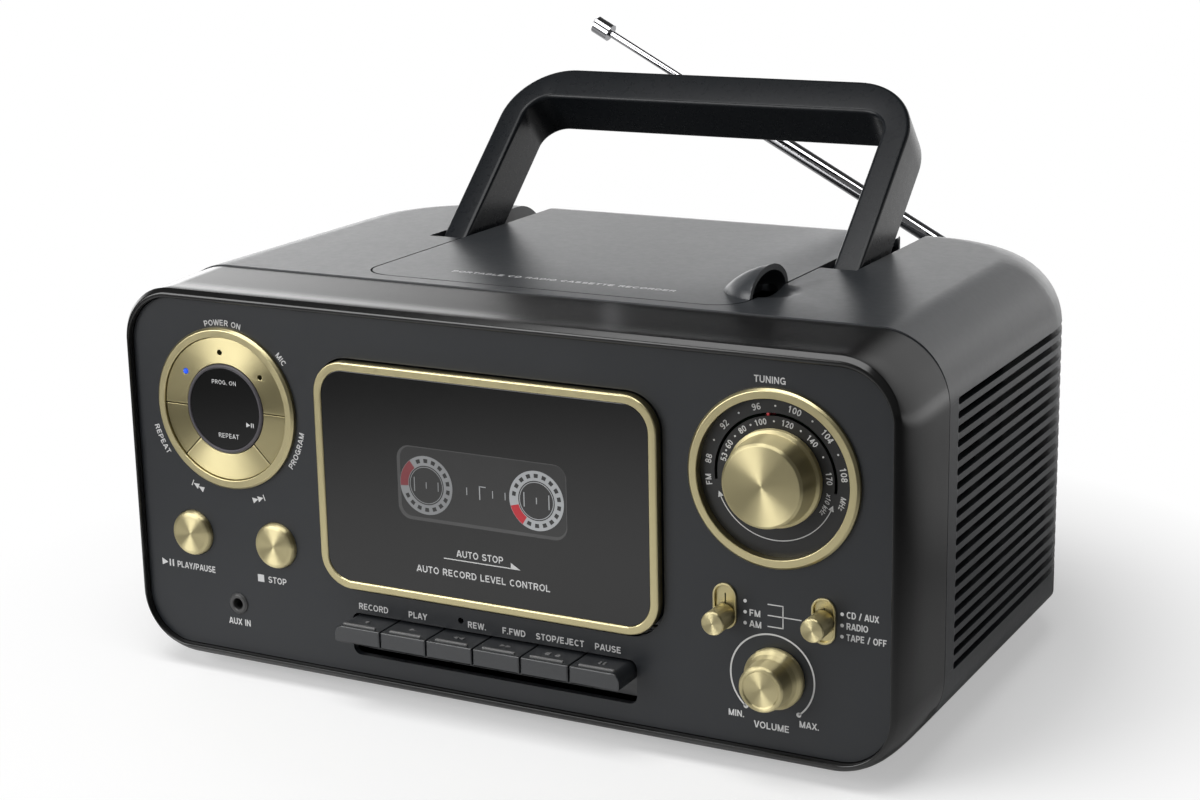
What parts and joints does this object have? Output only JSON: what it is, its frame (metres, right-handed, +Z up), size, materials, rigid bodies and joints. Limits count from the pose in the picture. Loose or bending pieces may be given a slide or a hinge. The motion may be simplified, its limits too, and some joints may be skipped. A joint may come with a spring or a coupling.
{
  "type": "cassette player",
  "caption": "Portable cassette, CD and radio player: rounded dark cabinet, gold trims, piano keys, smoked cassette door, top CD lid, slotted sides, folding handle and telescopic antenna.",
  "frame": {"origin": "centre of the bounding box at the floor", "axes": "+X right, +Y back, +Z up; the front panel faces -Y"},
  "size_m": [0.301, 0.233, 0.2185],
  "materials": {
    "gloss_shell": "gloss black shell",
    "cabinet": "satin charcoal moulding",
    "panel": "satin black",
    "handle": "satin black",
    "dark_inner": "matte black moulding",
    "gold": "spun and brushed champagne gold",
    "dial": "matte black printed dial",
    "smoked": "smoked clear plastic",
    "key": "satin dark grey",
    "steel": "plain steel",
    "chrome": "polished",
    "rubber": "matte rubber",
    "board": "green circuit board",
    "speaker": "black paper and pressed steel"
  },
  "bodies": {
    "cabinet": {"ac_inlet": "dark_inner", "aux_jack": "gold", "battery_contacts": "steel", "cabinet_screws": "steel", "cd_deck": "dark_inner", "cd_mechanism": "steel", "control_board": "board", "control_plate": "gold", "display_bezel": "dark_inner", "display_lens": "smoked", "drive_belt": "rubber", "feet": "rubber", "front_cabinet": "gloss_shell", "front_panel": "panel", "handle_pins": "steel", "radio_board": "board", "rear_cabinet": "cabinet", "ring_trims": "gold", "slider_plates": "gold", "speaker_left": "speaker", "speaker_right": "speaker", "tape_chassis": "steel", "tape_motor": "steel", "transformer": "steel", "tuning_dial": "dial"},
    "handle": {"handle": "handle"},
    "lid": {"cd_lid": "cabinet"},
    "puck": {"clamp_puck": "dark_inner"},
    "turntable": {"cd_turntable": "dark_inner"},
    "sled": {"laser_sled": "dark_inner"},
    "door": {"door_trim": "gold", "door_lens": "smoked", "cassette_holder": "dark_inner"},
    "supply": {"supply_spindle": "dark_inner"},
    "takeup": {"takeup_spindle": "dark_inner"},
    "flywheel": {"capstan_flywheel": "steel"},
    "pulley": {"motor_pulley": "steel"},
    "heads": {"head_plate": "steel"},
    "key_record": {"record_key": "key"},
    "key_play": {"play_key": "key"},
    "key_rewind": {"rewind_key": "key"},
    "key_forward": {"fast_forward_key": "key"},
    "key_stop": {"stop_eject_key": "key"},
    "key_pause": {"pause_key": "key"},
    "play_pause": {"play_pause_button": "gold"},
    "stop": {"stop_button": "gold"},
    "repeat": {"repeat_key": "gold"},
    "program": {"program_key": "gold"},
    "skip": {"skip_key": "gold"},
    "tuner": {"tuning_knob": "gold", "tuning_pointer": "dark_inner"},
    "volume": {"volume_knob": "gold"},
    "function": {"function_slider": "gold"},
    "band": {"band_slider": "gold"},
    "swivel": {"antenna_knuckle": "chrome"},
    "mast": {"antenna_tube": "chrome"},
    "mast_1": {"antenna_section_1": "chrome"},
    "mast_2": {"antenna_section_2": "chrome"},
    "mast_tip": {"antenna_tip": "chrome"},
    "hatch": {"battery_door": "dark_inner"}
  },
  "joints": [
    {"name": "handle_pivot", "type": "hinge", "parent": "cabinet", "child": "handle", "pos_m": [0, 0.0185, 0.1335], "axis": [-1, 0, 0], "range_deg": [-48, 42]},
    {"name": "lid_hinge", "type": "hinge", "parent": "cabinet", "child": "lid", "pos_m": [0, 0.0775, 0.1372], "axis": [-1, 0, 0], "range_deg": [0, 55]},
    {"name": "puck_spin", "type": "hinge", "parent": "lid", "child": "puck", "pos_m": [0, 0.0115, 0.131], "axis": [0, 0, 1], "continuous": true},
    {"name": "disc_spin", "type": "hinge", "parent": "cabinet", "child": "turntable", "pos_m": [0, 0.0115, 0.125], "axis": [0, 0, 1], "continuous": true},
    {"name": "sled_travel", "type": "slide", "parent": "cabinet", "child": "sled", "axis": [-1, 0, 0], "range_m": [0, 0.032]},
    {"name": "door_hinge", "type": "hinge", "parent": "cabinet", "child": "door", "pos_m": [0, -0.10325, 0.044], "axis": [1, 0, 0], "range_deg": [0, 28]},
    {"name": "supply_spin", "type": "hinge", "parent": "cabinet", "child": "supply", "pos_m": [-0.02125, -0.0945, 0.083], "axis": [0, -1, 0], "continuous": true},
    {"name": "takeup_spin", "type": "hinge", "parent": "cabinet", "child": "takeup", "pos_m": [0.02125, -0.0945, 0.083], "axis": [0, -1, 0], "continuous": true},
    {"name": "flywheel_spin", "type": "hinge", "parent": "cabinet", "child": "flywheel", "pos_m": [-0.014, -0.0845, 0.057], "axis": [0, -1, 0], "continuous": true},
    {"name": "motor_spin", "type": "hinge", "parent": "cabinet", "child": "pulley", "pos_m": [0.04, -0.0845, 0.062], "axis": [0, -1, 0], "continuous": true},
    {"name": "head_lift", "type": "slide", "parent": "cabinet", "child": "heads", "axis": [0, 0, 1], "range_m": [0, 0.0048]},
    {"name": "record_press", "type": "hinge", "parent": "cabinet", "child": "key_record", "pos_m": [-0.046, -0.0795, 0.024], "axis": [1, 0, 0], "range_deg": [0, 5], "stiffness_Nm_per_rad": 0.6, "springref_deg": -5.73},
    {"name": "play_press", "type": "hinge", "parent": "cabinet", "child": "key_play", "pos_m": [-0.0276, -0.0795, 0.024], "axis": [1, 0, 0], "range_deg": [0, 5], "stiffness_Nm_per_rad": 0.6, "springref_deg": -5.73},
    {"name": "rewind_press", "type": "hinge", "parent": "cabinet", "child": "key_rewind", "pos_m": [-0.0092, -0.0795, 0.024], "axis": [1, 0, 0], "range_deg": [0, 5], "stiffness_Nm_per_rad": 0.6, "springref_deg": -5.73},
    {"name": "forward_press", "type": "hinge", "parent": "cabinet", "child": "key_forward", "pos_m": [0.0092, -0.0795, 0.024], "axis": [1, 0, 0], "range_deg": [0, 5], "stiffness_Nm_per_rad": 0.6, "springref_deg": -5.73},
    {"name": "stop_press", "type": "hinge", "parent": "cabinet", "child": "key_stop", "pos_m": [0.0276, -0.0795, 0.024], "axis": [1, 0, 0], "range_deg": [0, 5], "stiffness_Nm_per_rad": 0.6, "springref_deg": -5.73},
    {"name": "pause_press", "type": "hinge", "parent": "cabinet", "child": "key_pause", "pos_m": [0.046, -0.0795, 0.024], "axis": [1, 0, 0], "range_deg": [0, 5], "stiffness_Nm_per_rad": 0.6, "springref_deg": -5.73},
    {"name": "play_pause_push", "type": "slide", "parent": "cabinet", "child": "play_pause", "axis": [0, 1, 0], "range_m": [0, 0.0012], "stiffness_N_per_m": 200, "springref_m": -0.001},
    {"name": "stop_push", "type": "slide", "parent": "cabinet", "child": "stop", "axis": [0, 1, 0], "range_m": [0, 0.0012], "stiffness_N_per_m": 200, "springref_m": -0.001},
    {"name": "repeat_push", "type": "slide", "parent": "cabinet", "child": "repeat", "axis": [0, 1, 0], "range_m": [0, 0.0012], "stiffness_N_per_m": 200, "springref_m": -0.001},
    {"name": "program_push", "type": "slide", "parent": "cabinet", "child": "program", "axis": [0, 1, 0], "range_m": [0, 0.0012], "stiffness_N_per_m": 200, "springref_m": -0.001},
    {"name": "skip_rock", "type": "hinge", "parent": "cabinet", "child": "skip", "pos_m": [-0.105, -0.0985, 0.0791], "axis": [0, 0, 1], "range_deg": [-1.5, 1.5], "stiffness_Nm_per_rad": 0.2},
    {"name": "tuning_turn", "type": "hinge", "parent": "cabinet", "child": "tuner", "pos_m": [0.105, -0.1045, 0.1002], "axis": [0, 1, 0], "range_deg": [-84, 98]},
    {"name": "volume_turn", "type": "hinge", "parent": "cabinet", "child": "volume", "pos_m": [0.1055, -0.1045, 0.0342], "axis": [0, 1, 0], "range_deg": [-140, 140]},
    {"name": "function_slide", "type": "slide", "parent": "cabinet", "child": "function", "axis": [0, 0, 1], "range_m": [-0.0007, 0.0067]},
    {"name": "band_slide", "type": "slide", "parent": "cabinet", "child": "band", "axis": [0, 0, 1], "range_m": [-0.0037, 0.0037]},
    {"name": "antenna_swivel", "type": "hinge", "parent": "cabinet", "child": "swivel", "pos_m": [0.118, 0.1125, 0.1145], "axis": [0, 1, 0], "range_deg": [-28.2, 151.8]},
    {"name": "antenna_tilt", "type": "hinge", "parent": "swivel", "child": "mast", "pos_m": [0.118, 0.1125, 0.1145], "axis": [-0.4726, 0, -0.8813], "range_deg": [0, 90]},
    {"name": "antenna_slide_1", "type": "slide", "parent": "mast", "child": "mast_1", "axis": [-0.8813, 0, 0.4726], "range_m": [-0.008, 0.12]},
    {"name": "antenna_slide_2", "type": "slide", "parent": "mast_1", "child": "mast_2", "axis": [-0.8813, 0, 0.4726], "range_m": [-0.008, 0.11]},
    {"name": "antenna_slide_3", "type": "slide", "parent": "mast_2", "child": "mast_tip", "axis": [-0.8813, 0, 0.4726], "range_m": [-0.037, 0.04]},
    {"name": "battery_door_hinge", "type": "hinge", "parent": "cabinet", "child": "hatch", "pos_m": [0, 0.0985, 0.0152], "axis": [-1, 0, 0], "range_deg": [0, 60]}
  ],
  "couplings": [
    {"joint": "flywheel_spin", "follows": "motor_spin", "ratio": 0.1579},
    {"joint": "play_press", "follows": "head_lift", "rad_per_m": 17.5}
  ]
}
